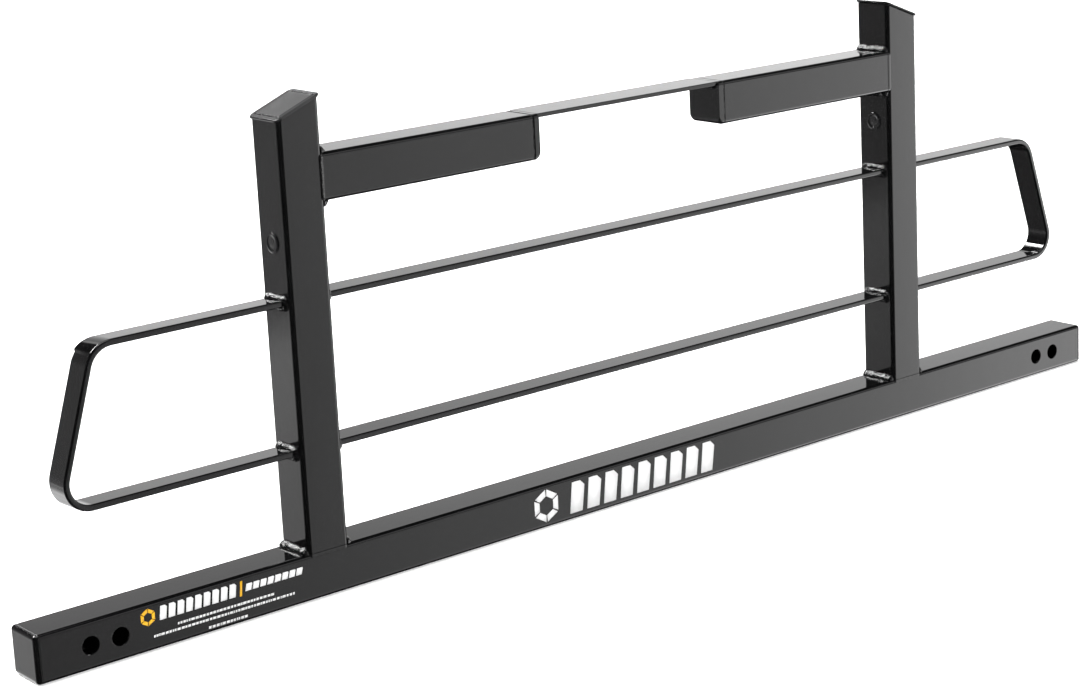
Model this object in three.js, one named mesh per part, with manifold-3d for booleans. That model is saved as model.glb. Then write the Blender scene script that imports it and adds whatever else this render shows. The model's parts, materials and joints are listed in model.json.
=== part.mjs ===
// Headache rack for the front of a pickup bed: a welded frame of square steel tube and flat bar.
// Millimetres. X runs along the rail, -Y is the face that carries the mark, +Z is up.
// The origin is in the middle of the rail's underside.

import * as THREE from 'three';
import Module from 'manifold-3d';
import { mergeVertices } from 'three/addons/utils/BufferGeometryUtils.js';

// Square tube, used for the rail, the uprights and the light brackets
const TUBE_SIDE = 50.8;
const TUBE_WALL = 2.4;
const TUBE_CORNER = 4.8;

// Bottom rail
const RAIL_LENGTH = 1575;
const RAIL_PLATE_THICKNESS = 5;
const BOLT_HOLE_RADIUS = 9.6;
const BOLT_HOLE_FIRST = 59.5;
const BOLT_HOLE_PITCH = 33.3;

// Uprights, measured from the rail's underside
const UPRIGHTS_WIDTH = 939;
const UPRIGHT_HEIGHT = 526;
const UPRIGHT_TOP_DROP = 20;
const WIRING_HOLE_RADIUS = 9;
const WIRING_HOLE_BELOW_BRACKET = 37.8;

// Caps on the uprights
const CAP_FLANGE = 3.4;
const CAP_OVERHANG = 2.2;
const CAP_SKIRT_DEPTH = 14;
const CAP_FIT = 0.3;

// Plugs in the wiring holes
const PLUG_HEAD_RADIUS = 11;
const PLUG_HEAD_HEIGHT = 1.6;
const PLUG_BARREL_DEPTH = 6;
const PLUG_DISH_RADIUS = 7;
const PLUG_DISH_DEPTH = 0.8;

// Light brackets, measured from the uprights' inner tops, and the bridge bar between them
const BRACKET_DROP = 57.4;
const BRACKET_GAP = 268;
const BRACKET_PLATE_THICKNESS = 8;
const BRACKET_PLATE_ROUNDING = 5;
const BRIDGE_THICKNESS = 4.8;
const BRIDGE_SET_BACK = 3.2;

// Flat bar, used for the crossbars and the side loops. The upper bars hang from the light brackets'
// underside and the lower bars stand above the rail's underside.
const BAR_WIDTH = 33;
const BAR_THICKNESS = 7;
const BAR_EDGE = 1.6;
const UPPER_BAR_BELOW_BRACKET = 96.3;
const LOWER_BAR_TOP = 162;

// Side loops: how far the sharp corners of the outer face stand out from the upright
const LOOP_LENGTH_TOP = 224.5;
const LOOP_LENGTH_BOTTOM = 277.5;
const LOOP_BEND_TOP = 32;
const LOOP_BEND_BOTTOM = 30;

// Weld beads
const FILLET_LEG = 6;
const BRIDGE_FILLET_LEG = 4;
const RING_LEG = 4.5;
const RING_LAND = 0.6;

// Mark and label stuck on the front of the rail
const MARK = { width: 280, height: 39, corner: 2 };
const MARK_OFF_CENTRE = 33;
const LABEL = { width: 196, height: 41, corner: 2 };
const LABEL_FROM_RAIL_END = 114.5;
const VINYL_THICKNESS = 0.2;
const VINYL_GAP = 0.05;

// Gap left between two pieces before they are welded
const FIT_GAP = 0.3;

// Curve steps
const ARC_STEPS = 6;
const ROUND_STEPS = 40;

const steel = { color: 0x1a1a1b, roughness: 0.18, metalness: 0.0 };
const plastic = { color: 0x101011, roughness: 0.35, metalness: 0.0 };
const vinyl = { color: 0xe8e8e8, roughness: 0.4, metalness: 0.0 };

const wasm = await Module();
wasm.setup();

const rack = new THREE.Group();

function addPiece(name, geometry, finish) {
  const mesh = new THREE.Mesh(geometry, new THREE.MeshStandardMaterial(finish));
  mesh.name = name;
  rack.add(mesh);
  return mesh;
}

function toSolid(geometry) {
  const bare = geometry.clone();
  bare.deleteAttribute('normal');
  bare.deleteAttribute('uv');
  const merged = mergeVertices(bare, 1e-4);
  const vertProperties = new Float32Array(merged.attributes.position.array);
  const triVerts = new Uint32Array(merged.index.array);
  return new wasm.Manifold(new wasm.Mesh({ numProp: 3, vertProperties, triVerts }));
}

function toGeometry(solid) {
  const mesh = solid.getMesh();
  const geometry = new THREE.BufferGeometry();
  geometry.setAttribute('position', new THREE.BufferAttribute(mesh.vertProperties, 3));
  geometry.setIndex(new THREE.BufferAttribute(mesh.triVerts, 1));
  geometry.computeVertexNormals();
  return geometry;
}

// Rounded rectangle about the origin, drawn on a Shape or a Path
function roundedRectangle(outline, width, height, corner) {
  const x = width / 2 - corner;
  const y = height / 2 - corner;
  outline.absarc(x, y, corner, 0, Math.PI / 2);
  outline.absarc(-x, y, corner, Math.PI / 2, Math.PI);
  outline.absarc(-x, -y, corner, Math.PI, 1.5 * Math.PI);
  outline.absarc(x, -y, corner, 1.5 * Math.PI, 2 * Math.PI);
  outline.closePath();
  return outline;
}

function extrudeUp(shape, depth) {
  return new THREE.ExtrudeGeometry(shape, { depth, bevelEnabled: false, curveSegments: ARC_STEPS });
}

// An outline drawn in X and Z, made into a solid that lies between two values of Y
function extrudeAcross(shape, front, back) {
  const geometry = extrudeUp(shape, back - front);
  geometry.rotateX(Math.PI / 2);
  geometry.translate(0, back, 0);
  return geometry;
}

// Square tube from z = 0 upwards, open at both ends
function squareTube(length) {
  const section = roundedRectangle(new THREE.Shape(), TUBE_SIDE, TUBE_SIDE, TUBE_CORNER);
  const inside = TUBE_SIDE - 2 * TUBE_WALL;
  const insideCorner = Math.max(TUBE_CORNER - TUBE_WALL, 0.4);
  section.holes.push(roundedRectangle(new THREE.Path(), inside, inside, insideCorner));
  return extrudeUp(section, length);
}

// Turn a piece that was built upwards so that it runs towards +X
function layAlongX(geometry) {
  geometry.rotateY(Math.PI / 2);
  return geometry;
}

function cylinderAlongY(radius, length) {
  return new THREE.CylinderGeometry(radius, radius, length, ROUND_STEPS);
}

function cylinderAlongX(radius, length) {
  const cylinder = cylinderAlongY(radius, length);
  cylinder.rotateZ(Math.PI / 2);
  return cylinder;
}

// Everything is mirror-symmetric, so the sides differ in a sign alone
const SIDES = [['left', -1], ['right', 1]];
const HALF_TUBE = TUBE_SIDE / 2;
const UPRIGHT_OUTER = UPRIGHTS_WIDTH / 2;
const UPRIGHT_CENTRE = UPRIGHT_OUTER - HALF_TUBE;
const UPRIGHT_INNER = UPRIGHT_OUTER - TUBE_SIDE;
const BRACKET_TIP = BRACKET_GAP / 2;
const BRACKET_TOP = UPRIGHT_HEIGHT - BRACKET_DROP;
const BRACKET_BOTTOM = BRACKET_TOP - TUBE_SIDE;
const WIRING_HOLE_HEIGHT = BRACKET_BOTTOM - WIRING_HOLE_BELOW_BRACKET;
const UPPER_BAR_TOP = BRACKET_BOTTOM - UPPER_BAR_BELOW_BRACKET;
const UPRIGHT_FOOT = TUBE_SIDE + FIT_GAP;

// ---- Bottom rail and its end plates ----

function makeRail() {
  const length = RAIL_LENGTH - 2 * (RAIL_PLATE_THICKNESS + FIT_GAP);
  const tube = layAlongX(squareTube(length));
  tube.translate(-length / 2, 0, HALF_TUBE);
  let rail = toSolid(tube);
  for (const [, side] of SIDES) {
    for (const inset of [BOLT_HOLE_FIRST, BOLT_HOLE_FIRST + BOLT_HOLE_PITCH]) {
      const drill = cylinderAlongY(BOLT_HOLE_RADIUS, 2 * TUBE_SIDE);
      drill.translate(side * (RAIL_LENGTH / 2 - inset), 0, HALF_TUBE);
      rail = rail.subtract(toSolid(drill));
    }
  }
  addPiece('bottom_rail', toGeometry(rail), steel);
}

function makeRailEndPlates() {
  for (const [name, side] of SIDES) {
    const outline = roundedRectangle(new THREE.Shape(), TUBE_SIDE, TUBE_SIDE, TUBE_CORNER);
    const plate = layAlongX(extrudeUp(outline, RAIL_PLATE_THICKNESS));
    plate.translate(-RAIL_PLATE_THICKNESS / 2, 0, HALF_TUBE);
    const piece = addPiece(`rail_end_plate_${name}`, plate, steel);
    piece.position.x = side * (RAIL_LENGTH / 2 - RAIL_PLATE_THICKNESS / 2);
  }
}

// ---- Uprights, their caps and their plugs ----

// The slab between two heights above the slanted top of the right upright, as wide as needed
function slantedSlab(below, above) {
  const reach = 2 * TUBE_SIDE;
  const slope = -UPRIGHT_TOP_DROP / TUBE_SIDE;
  const middle = UPRIGHT_HEIGHT - UPRIGHT_TOP_DROP / 2;
  const outline = new THREE.Shape();
  outline.moveTo(UPRIGHT_CENTRE - reach, middle - slope * reach + below);
  outline.lineTo(UPRIGHT_CENTRE + reach, middle + slope * reach + below);
  outline.lineTo(UPRIGHT_CENTRE + reach, middle + slope * reach + above);
  outline.lineTo(UPRIGHT_CENTRE - reach, middle - slope * reach + above);
  outline.closePath();
  return toSolid(extrudeAcross(outline, -reach, reach));
}

// A turn of half a circle about Z gives the left piece, because the rack has the same front and back
function placeSide(piece, side) {
  if (side < 0) {
    piece.rotation.z = Math.PI;
  }
}

function makeUprights() {
  const tube = squareTube(UPRIGHT_HEIGHT - UPRIGHT_FOOT);
  tube.translate(UPRIGHT_CENTRE, 0, UPRIGHT_FOOT);
  const drill = cylinderAlongX(WIRING_HOLE_RADIUS, 2 * TUBE_SIDE);
  drill.translate(UPRIGHT_CENTRE, 0, WIRING_HOLE_HEIGHT);
  const upright = toSolid(tube).subtract(slantedSlab(0, UPRIGHT_HEIGHT)).subtract(toSolid(drill));
  for (const [name, side] of SIDES) {
    placeSide(addPiece(`upright_${name}`, toGeometry(upright), steel), side);
  }
}

function makeCaps() {
  const flangeSide = TUBE_SIDE + 2 * CAP_OVERHANG;
  const skirtSide = TUBE_SIDE - 2 * (TUBE_WALL + CAP_FIT);
  const flangeCorner = TUBE_CORNER + CAP_OVERHANG;
  const flangeOutline = roundedRectangle(new THREE.Shape(), flangeSide, flangeSide, flangeCorner);
  const skirtOutline = roundedRectangle(new THREE.Shape(), skirtSide, skirtSide, 1.5);
  const flangeStock = extrudeUp(flangeOutline, 2 * UPRIGHT_HEIGHT);
  const skirtStock = extrudeUp(skirtOutline, 2 * UPRIGHT_HEIGHT);
  flangeStock.translate(UPRIGHT_CENTRE, 0, 0);
  skirtStock.translate(UPRIGHT_CENTRE, 0, 0);
  const flange = toSolid(flangeStock).intersect(slantedSlab(FIT_GAP, FIT_GAP + CAP_FLANGE));
  const skirt = toSolid(skirtStock).intersect(slantedSlab(-CAP_SKIRT_DEPTH, FIT_GAP + CAP_FLANGE / 2));
  for (const [name, side] of SIDES) {
    placeSide(addPiece(`upright_cap_${name}`, toGeometry(flange.add(skirt)), plastic), side);
  }
}

function makePlugs() {
  const barrelRadius = WIRING_HOLE_RADIUS - CAP_FIT;
  const face = PLUG_HEAD_HEIGHT + FIT_GAP;
  const profile = [
    [0, -PLUG_BARREL_DEPTH],
    [barrelRadius, -PLUG_BARREL_DEPTH],
    [barrelRadius, FIT_GAP],
    [PLUG_HEAD_RADIUS, FIT_GAP],
    [PLUG_HEAD_RADIUS, face - 0.6],
    [PLUG_HEAD_RADIUS - 0.8, face],
    [PLUG_DISH_RADIUS + 0.6, face],
    [PLUG_DISH_RADIUS, face - PLUG_DISH_DEPTH],
    [0, face - PLUG_DISH_DEPTH],
  ].map(([radius, height]) => new THREE.Vector2(radius, height));
  for (const [name, side] of SIDES) {
    for (const [where, faceX, outwards] of [['outer', UPRIGHT_OUTER, 1], ['inner', UPRIGHT_INNER, -1]]) {
      const plug = new THREE.LatheGeometry(profile, ROUND_STEPS);
      const piece = addPiece(`hole_plug_${name}_${where}`, plug, plastic);
      piece.rotation.z = -side * outwards * Math.PI / 2;
      piece.position.set(side * faceX, 0, WIRING_HOLE_HEIGHT);
    }
  }
}

// ---- Light brackets and the bridge bar ----

function makeBrackets() {
  const from = BRACKET_TIP + BRACKET_PLATE_THICKNESS + FIT_GAP;
  const tube = layAlongX(squareTube(UPRIGHT_INNER - FIT_GAP - from));
  tube.translate(from, 0, BRACKET_TOP - HALF_TUBE);
  for (const [name, side] of SIDES) {
    placeSide(addPiece(`light_bracket_${name}`, tube.clone(), steel), side);
  }
}

// The plate's lower outer edge is rounded, where the weld was ground back
function makeBracketPlates() {
  const outer = BRACKET_TIP;
  const inner = BRACKET_TIP + BRACKET_PLATE_THICKNESS;
  const rounding = BRACKET_PLATE_ROUNDING;
  const outline = new THREE.Shape();
  outline.moveTo(inner, BRACKET_TOP);
  outline.lineTo(outer, BRACKET_TOP);
  outline.absarc(outer + rounding, BRACKET_BOTTOM + rounding, rounding, Math.PI, 1.5 * Math.PI);
  outline.lineTo(inner, BRACKET_BOTTOM);
  outline.closePath();
  const plate = extrudeAcross(outline, -HALF_TUBE, HALF_TUBE);
  for (const [name, side] of SIDES) {
    placeSide(addPiece(`bracket_end_plate_${name}`, plate.clone(), steel), side);
  }
}

function makeBridgeBar() {
  const length = BRACKET_GAP - 2 * FIT_GAP;
  const width = TUBE_SIDE - BRIDGE_SET_BACK;
  const bar = new THREE.BoxGeometry(length, width, BRIDGE_THICKNESS);
  const piece = addPiece('bridge_bar', bar, steel);
  piece.position.set(0, BRIDGE_SET_BACK / 2, BRACKET_TOP - BRIDGE_THICKNESS / 2);
}

// ---- Crossbars and side loops ----

function makeCrossbars() {
  const length = 2 * (UPRIGHT_INNER - FIT_GAP);
  for (const [name, top] of [['upper', UPPER_BAR_TOP], ['lower', LOWER_BAR_TOP]]) {
    const section = roundedRectangle(new THREE.Shape(), BAR_THICKNESS, BAR_WIDTH, BAR_EDGE);
    const bar = layAlongX(extrudeUp(section, length));
    bar.translate(-length / 2, 0, 0);
    const piece = addPiece(`crossbar_${name}`, bar, steel);
    piece.position.z = top - BAR_THICKNESS / 2;
  }
}

// The bent bar seen from the front: out along the upper arm, down the leaning leg, back along the lower arm
function loopOutline() {
  const top = UPPER_BAR_TOP;
  const bottom = LOWER_BAR_TOP - BAR_THICKNESS;
  const armStart = UPRIGHT_OUTER + FIT_GAP;
  const lean = Math.atan2(LOOP_LENGTH_BOTTOM - LOOP_LENGTH_TOP, top - bottom);
  const topSetback = LOOP_BEND_TOP * Math.tan((Math.PI / 2 - lean) / 2);
  const bottomSetback = LOOP_BEND_BOTTOM * Math.tan((Math.PI / 2 + lean) / 2);
  const bends = [
    { x: UPRIGHT_OUTER + LOOP_LENGTH_TOP - topSetback, z: top - LOOP_BEND_TOP,
      radius: LOOP_BEND_TOP, from: Math.PI / 2, to: lean },
    { x: UPRIGHT_OUTER + LOOP_LENGTH_BOTTOM - bottomSetback, z: bottom + LOOP_BEND_BOTTOM,
      radius: LOOP_BEND_BOTTOM, from: lean, to: -Math.PI / 2 },
  ];
  const outline = new THREE.Shape();
  outline.moveTo(armStart, top);
  for (const { x, z, radius, from, to } of bends) {
    outline.absarc(x, z, radius, from, to, true);
  }
  outline.lineTo(armStart, bottom);
  outline.lineTo(armStart, bottom + BAR_THICKNESS);
  for (const { x, z, radius, from, to } of bends.reverse()) {
    outline.absarc(x, z, radius - BAR_THICKNESS, to, from, false);
  }
  outline.lineTo(armStart, top - BAR_THICKNESS);
  outline.closePath();
  return outline;
}

function makeLoops() {
  const loop = extrudeAcross(loopOutline(), -BAR_WIDTH / 2, BAR_WIDTH / 2);
  for (const [name, side] of SIDES) {
    placeSide(addPiece(`side_loop_${name}`, loop.clone(), steel), side);
  }
}

// ---- Weld beads ----

// A fillet with its legs along +X and +Z from the corner, running across the rack
function filletBead(leg, front, back) {
  const outline = new THREE.Shape();
  outline.moveTo(0, 0);
  outline.lineTo(leg, 0);
  outline.quadraticCurveTo(0.7 * leg, 0.7 * leg, 0, leg);
  outline.closePath();
  return extrudeAcross(outline, front, back);
}

// The corner that a bead fills is at x and z, and its legs point outwards (along X) and upwards (along Z)
function placeBead(name, bead, { x, z, outwards, upwards }) {
  if (outwards * upwards < 0) {
    bead.rotateY(upwards > 0 ? -Math.PI / 2 : Math.PI / 2);
  } else if (outwards < 0) {
    bead.rotateY(Math.PI);
  }
  const piece = addPiece(name, bead, steel);
  piece.position.set(x + outwards * FIT_GAP, 0, z + upwards * FIT_GAP);
}

function makeFilletBeads() {
  const flat = HALF_TUBE - TUBE_CORNER;
  const bridgeFront = BRIDGE_SET_BACK - HALF_TUBE;
  const bridgeUnderside = BRACKET_TOP - BRIDGE_THICKNESS;
  for (const [name, side] of SIDES) {
    const outerFace = side * UPRIGHT_OUTER;
    const innerFace = side * UPRIGHT_INNER;
    const tubeBeads = {
      [`weld_foot_${name}_outer`]: { x: outerFace, z: TUBE_SIDE, outwards: side, upwards: 1 },
      [`weld_foot_${name}_inner`]: { x: innerFace, z: TUBE_SIDE, outwards: -side, upwards: 1 },
      [`weld_bracket_${name}_top`]: { x: innerFace, z: BRACKET_TOP, outwards: -side, upwards: 1 },
      [`weld_bracket_${name}_bottom`]: { x: innerFace, z: BRACKET_BOTTOM, outwards: -side, upwards: -1 },
    };
    for (const [beadName, corner] of Object.entries(tubeBeads)) {
      placeBead(beadName, filletBead(FILLET_LEG, -flat, flat), corner);
    }
    placeBead(`weld_bridge_${name}`, filletBead(BRIDGE_FILLET_LEG, bridgeFront, HALF_TUBE),
      { x: side * BRACKET_TIP, z: bridgeUnderside, outwards: -side, upwards: -1 });
  }
}

// Ring around the end of a flat bar that runs towards +Z from z = 0, cut to fit the bar
function weldRing() {
  const holeHeight = BAR_THICKNESS + 2 * FIT_GAP;
  const holeWidth = BAR_WIDTH + 2 * FIT_GAP;
  const coreHeight = holeHeight + 2 * RING_LAND;
  const coreWidth = holeWidth + 2 * RING_LAND;
  const outline = roundedRectangle(new THREE.Shape(), coreHeight, coreWidth, BAR_EDGE + RING_LAND);
  const bulge = new THREE.ExtrudeGeometry(outline, {
    depth: 0.1,
    bevelThickness: RING_LEG,
    bevelSize: RING_LEG,
    bevelSegments: 3,
    curveSegments: 3,
  });
  const keep = new THREE.BoxGeometry(2 * BAR_WIDTH, 2 * BAR_WIDTH, 2 * RING_LEG);
  keep.translate(0, 0, RING_LEG + FIT_GAP);
  const hole = new THREE.BoxGeometry(holeHeight, holeWidth, 4 * RING_LEG);
  return toSolid(bulge).intersect(toSolid(keep)).subtract(toSolid(hole));
}

function makeWeldRings() {
  const ring = layAlongX(toGeometry(weldRing()));
  for (const [name, side] of SIDES) {
    for (const [level, top] of [['upper', UPPER_BAR_TOP], ['lower', LOWER_BAR_TOP]]) {
      const height = top - BAR_THICKNESS / 2;
      const onLoop = addPiece(`weld_loop_${name}_${level}`, ring.clone(), steel);
      onLoop.rotation.z = side > 0 ? 0 : Math.PI;
      onLoop.position.set(side * UPRIGHT_OUTER, 0, height);
      const onCrossbar = addPiece(`weld_crossbar_${name}_${level}`, ring.clone(), steel);
      onCrossbar.rotation.z = side > 0 ? Math.PI : 0;
      onCrossbar.position.set(side * UPRIGHT_INNER, 0, height);
    }
  }
}

// ---- Mark and label on the front of the rail ----

function makeVinyl(name, x, { width, height, corner }) {
  const outline = roundedRectangle(new THREE.Shape(), width, height, corner);
  const front = -HALF_TUBE - VINYL_GAP - VINYL_THICKNESS;
  const sheet = extrudeAcross(outline, front, front + VINYL_THICKNESS);
  const piece = addPiece(name, sheet, vinyl);
  piece.position.set(x, 0, HALF_TUBE);
}

makeRail();
makeRailEndPlates();
makeUprights();
makeCaps();
makePlugs();
makeBrackets();
makeBracketPlates();
makeBridgeBar();
makeCrossbars();
makeLoops();
makeFilletBeads();
makeWeldRings();
makeVinyl('rail_mark', -MARK_OFF_CENTRE, MARK);
makeVinyl('rail_label', LABEL_FROM_RAIL_END + LABEL.width / 2 - RAIL_LENGTH / 2, LABEL);

export default rack;
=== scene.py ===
# Looks of the headache rack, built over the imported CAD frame.
# Metres. X runs along the rail, -Y is the face that carries the mark, +Z is up.

import json
import math
import random

import bmesh
import bpy
from mathutils import Matrix, Vector, noise


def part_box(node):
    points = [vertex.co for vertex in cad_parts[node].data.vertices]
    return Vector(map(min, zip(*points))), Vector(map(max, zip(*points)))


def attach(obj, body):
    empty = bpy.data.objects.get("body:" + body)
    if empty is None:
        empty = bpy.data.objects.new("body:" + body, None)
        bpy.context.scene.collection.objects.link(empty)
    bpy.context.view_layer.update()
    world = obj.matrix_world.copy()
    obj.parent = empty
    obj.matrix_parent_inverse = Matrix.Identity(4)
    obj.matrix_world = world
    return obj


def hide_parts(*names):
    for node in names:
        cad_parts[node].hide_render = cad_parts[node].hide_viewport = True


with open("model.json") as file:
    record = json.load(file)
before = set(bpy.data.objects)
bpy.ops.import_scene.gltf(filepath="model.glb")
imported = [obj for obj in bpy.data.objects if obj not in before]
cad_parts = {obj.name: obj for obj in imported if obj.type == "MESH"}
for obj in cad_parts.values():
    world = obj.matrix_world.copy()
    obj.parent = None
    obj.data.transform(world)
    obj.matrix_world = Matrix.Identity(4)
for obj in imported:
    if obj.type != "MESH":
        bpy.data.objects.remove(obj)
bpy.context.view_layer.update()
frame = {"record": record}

MM = 0.001
BODY = "root"
SIDES = (("left", -1), ("right", 1))
SCENE = bpy.context.scene

BEVEL_SEGMENTS = 3
BEVEL_ANGLE = math.radians(32)

# Square tube
WALL = 2.4 * MM
CORNER = 4.8 * MM
INSIDE_CORNER = 2.4 * MM
CORNER_STEPS = 8
RAIL_HOLE_EDGE = 0.45 * MM
POST_HOLE_EDGE = 0.4 * MM
BOLT_HOLE_RADIUS = 9.6 * MM
WIRING_HOLE_RADIUS = 9.0 * MM
HOLE_STEPS = 72

# End plates
PLATE_ROUNDING = 4.7 * MM
PLATE_STEPS = 7
PLATE_LEAST_CORNER = 0.3 * MM
BRACKET_PLATE_EDGE = 0.8 * MM
BRACKET_PLATE_EDGE_STEPS = 6
BRACKET_PLATE_CHAMFER = 1.0 * MM
BRACKET_PLATE_CORNER = 6.0 * MM
BRACKET_PLATE_CORNER_STEPS = 10

# Flat bar
BAR_EDGE = 2.2 * MM
BRIDGE_EDGE = 0.7 * MM
EDGE_STEPS = 6
LOOP_BEND_TOP = 32 * MM
LOOP_BEND_BOTTOM = 30 * MM
LOOP_LENGTH_TOP = 224.5 * MM
BEND_STEPS = 28
REACH_HALVINGS = 40

# The left loop's arms lean back. A press flared its upper bend, the more the nearer to the bar's back edge,
# and the flare ends in a step at PRESS_MARK_END of the bend.
ARM_TILT = math.radians(3)
PRESS_MARK = 2.4 * MM
PRESS_MARK_END = 0.68
PRESS_MARK_MIDDLE = 0.6
PRESS_MARK_SLANT = 0.8

# Caps and plugs
CAP_SKIRT = 13 * MM
CAP_CLEARANCE = 0.3 * MM
CAP_OVERHANG = 2.2 * MM
CAP_LEAST_CORNER = 0.8 * MM
UPRIGHT_TOP_DROP = 20 * MM
PLUG_STEPS = 64

# Welds
# the seam between a bracket and its end plate: its gap, the rounding of the tube's end, and the thin bead's
# radius and depth
TIP_SEAMS = {
    "left": {"gap": 2.6 * MM, "shoulder": 0.9 * MM, "radius": 1.6 * MM, "depth": 2.3 * MM},
    "right": {"gap": 1.6 * MM, "shoulder": 0.5 * MM, "radius": 1.3 * MM, "depth": 1.35 * MM},
}
SHOULDER_STEPS = 5
TIP_BEAD_SIDES = 10
TIP_BEAD_CORNER_STEPS = 10
TIP_BEAD_INSET = 0.95 * MM
TIP_BEAD_LEAST = 0.9
TIP_BEAD_RIPPLE = 0.12
TIP_BEAD_WOBBLE = 0.25
TIP_BEAD_WOBBLE_SCALE = 250
BAR_BEAD_LEG = 4.6 * MM
BAR_BEAD_CORNER_STEPS = 12
TUBE_BEAD_LEG = 6.2 * MM
TUBE_BEAD_END = 4.0 * MM
TUBE_BEAD_INSET = 0.8 * MM
BRIDGE_BEAD_LEG = 4.0 * MM
BRIDGE_BEAD_END = 3.0 * MM
BRIDGE_BEAD_INSET = 1.0 * MM
RIPPLE_PITCH = 2.5 * MM
RIPPLE_HEIGHT = 0.6 * MM
RIPPLE_LAG = 1.1 * RIPPLE_PITCH
RIPPLE_POWER = 0.7
RIPPLE_LEVEL = 0.75
RIPPLE_CHANGE = 0.9
RIPPLE_CHANGE_STEP = 7.3
BEAD_WOBBLE = 0.16
BEAD_WOBBLE_SCALE = 180
BEAD_FINE_WOBBLE = 0.08
BEAD_FINE_WOBBLE_SCALE = 420
BEAD_SCATTER = 0.6 * MM
BEAD_SCATTER_SCALE = 620
BEAD_ROOT = 0.4 * MM
BEAD_STEP = 0.4 * MM
BEAD_SIDES = 9
BEAD_BULGE = 1.3
BEAD_LEAST_SIZE = 0.06

# Welds that fill the groove between two tubes; only a proud one shows ripples
SEAM_DEPTH = 2.6 * MM
SEAM_SIDES = 10
FOOT_SEAM_HALF_WIDTH = 2.0 * MM
FOOT_SEAM_CROWN = -0.1 * MM
BRACKET_SEAM_HALF_WIDTH = 2.9 * MM
BRACKET_SEAM_OFFSET = 0.45 * CORNER
BRACKET_SEAM_CROWN = {"left": 0.9 * MM, "right": 0.15 * MM}
BRACKET_SEAM_RIPPLE = 0.25
PROUD_RIPPLE = 0.1 * MM
SEAM_LAG = 1.2 * MM
SEAM_SCATTER = 0.05 * MM
SEAM_SCATTER_SCALE = 200
SEAM_END_SINK = 0.9 * CORNER

# Mark and label
PRINT_THICKNESS = 0.12 * MM
PRINT_GAP = 0.03 * MM
DASH_SLANT = 0.15
DASH_LENGTHS = (1.2, 4.2)
DASH_GAPS = (0.7, 1.3)
LEAST_DASH = 2 * MM

# Studio
CAMERA_PLACE = (-1.7653, -2.0524, 0.8860)
CAMERA_HEADING = math.radians(38.2743)
CAMERA_PITCH = math.radians(12.2984)
CAMERA_ROLL = math.radians(-2.9325)
LENS = 80.72
LENS_SHIFT = (0.01597, -0.0912)
STUDIO_DARK = 0.012
FLOOR_HALF_SIZE = 30.0
FLOOR_GAP = 0.5 * MM


# ---------------------------------------------------------------- mesh tools

def mesh_object(name, verts, faces):
    mesh = bpy.data.meshes.new(name)
    mesh.from_pydata([tuple(v) for v in verts], [], faces)
    work = bmesh.new()
    work.from_mesh(mesh)
    bmesh.ops.remove_doubles(work, verts=work.verts, dist=1e-7)
    bmesh.ops.recalc_face_normals(work, faces=work.faces)
    for face in work.faces:
        face.smooth = True
    work.to_mesh(mesh)
    work.free()
    obj = bpy.data.objects.new(name, mesh)
    SCENE.collection.objects.link(obj)
    return obj


def loft_parts(rings, closed=False):
    """Verts and faces of a skin through rings of equal length; closed joins the last ring to the first."""
    count = len(rings[0])
    verts = [point for ring in rings for point in ring]
    faces = []
    for i in range(len(rings) if closed else len(rings) - 1):
        a = i * count
        b = (i + 1) % len(rings) * count
        for j in range(count):
            k = (j + 1) % count
            faces.append((a + j, a + k, b + k, b + j))
    if not closed:
        faces.append(tuple(range(count)))
        faces.append(tuple(range(len(verts) - count, len(verts))))
    return verts, faces


def loft(name, rings, closed=False):
    return mesh_object(name, *loft_parts(rings, closed))


def exact_normals(obj, normals):
    """Sets the shading normal at each vertex, apart from faces that turn well away from it, such as ends."""
    mesh = obj.data
    loops = []
    for face in mesh.polygons:
        for index in face.vertices:
            near = normals[index].dot(face.normal) > 0.6
            loops.append(normals[index] if near else face.normal)
    mesh.normals_split_custom_set([tuple(normal) for normal in loops])
    return obj


def rounded_rectangle(width, height, radius, steps=CORNER_STEPS):
    """Points of a rounded rectangle about the origin, anticlockwise."""
    points = []
    for sx, sy, start in ((1, 1, 0), (-1, 1, 90), (-1, -1, 180), (1, -1, 270)):
        for i in range(steps + 1):
            angle = math.radians(start + 90 * i / steps)
            points.append((sx * (width / 2 - radius) + radius * math.cos(angle),
                           sy * (height / 2 - radius) + radius * math.sin(angle)))
    return points


def rounded_normals(steps=CORNER_STEPS):
    """The outward directions at the points of rounded_rectangle."""
    angles = [math.radians(start + 90 * i / steps) for start in (0, 90, 180, 270) for i in range(steps + 1)]
    return [(math.cos(angle), math.sin(angle)) for angle in angles]


def rounded_edge(end, radius, steps):
    """Pairs of a place and an inset over an edge that is rounded off with radius and stops at end."""
    turns = [math.pi / 2 * i / steps for i in range(steps + 1)]
    return [(end - radius * (1 - math.sin(turn)), radius * (1 - math.cos(turn))) for turn in turns]


def circle(radius, steps=HOLE_STEPS):
    turns = [2 * math.pi * i / steps for i in range(steps)]
    return [(radius * math.cos(turn), radius * math.sin(turn)) for turn in turns]


def noise_shift(name):
    """A place of its own in the noise for each weld."""
    seed = random.Random(name)
    return Vector((seed.uniform(0, 50), seed.uniform(0, 50), seed.uniform(0, 50)))


def bevel(obj, width):
    """Rounds the sharp edges of obj and keeps its flat faces flat."""
    rounding = obj.modifiers.new("edge", "BEVEL")
    rounding.width = width
    rounding.segments = BEVEL_SEGMENTS
    rounding.limit_method = "ANGLE"
    rounding.angle_limit = BEVEL_ANGLE
    rounding.use_clamp_overlap = True
    rounding.harden_normals = False
    return obj


def flat_shade(obj):
    """Takes shading normals from the larger faces, so that flats look flat beside rounded edges."""
    weighted = obj.modifiers.new("normals", "WEIGHTED_NORMAL")
    weighted.weight = 50
    weighted.keep_sharp = True
    return obj


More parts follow.
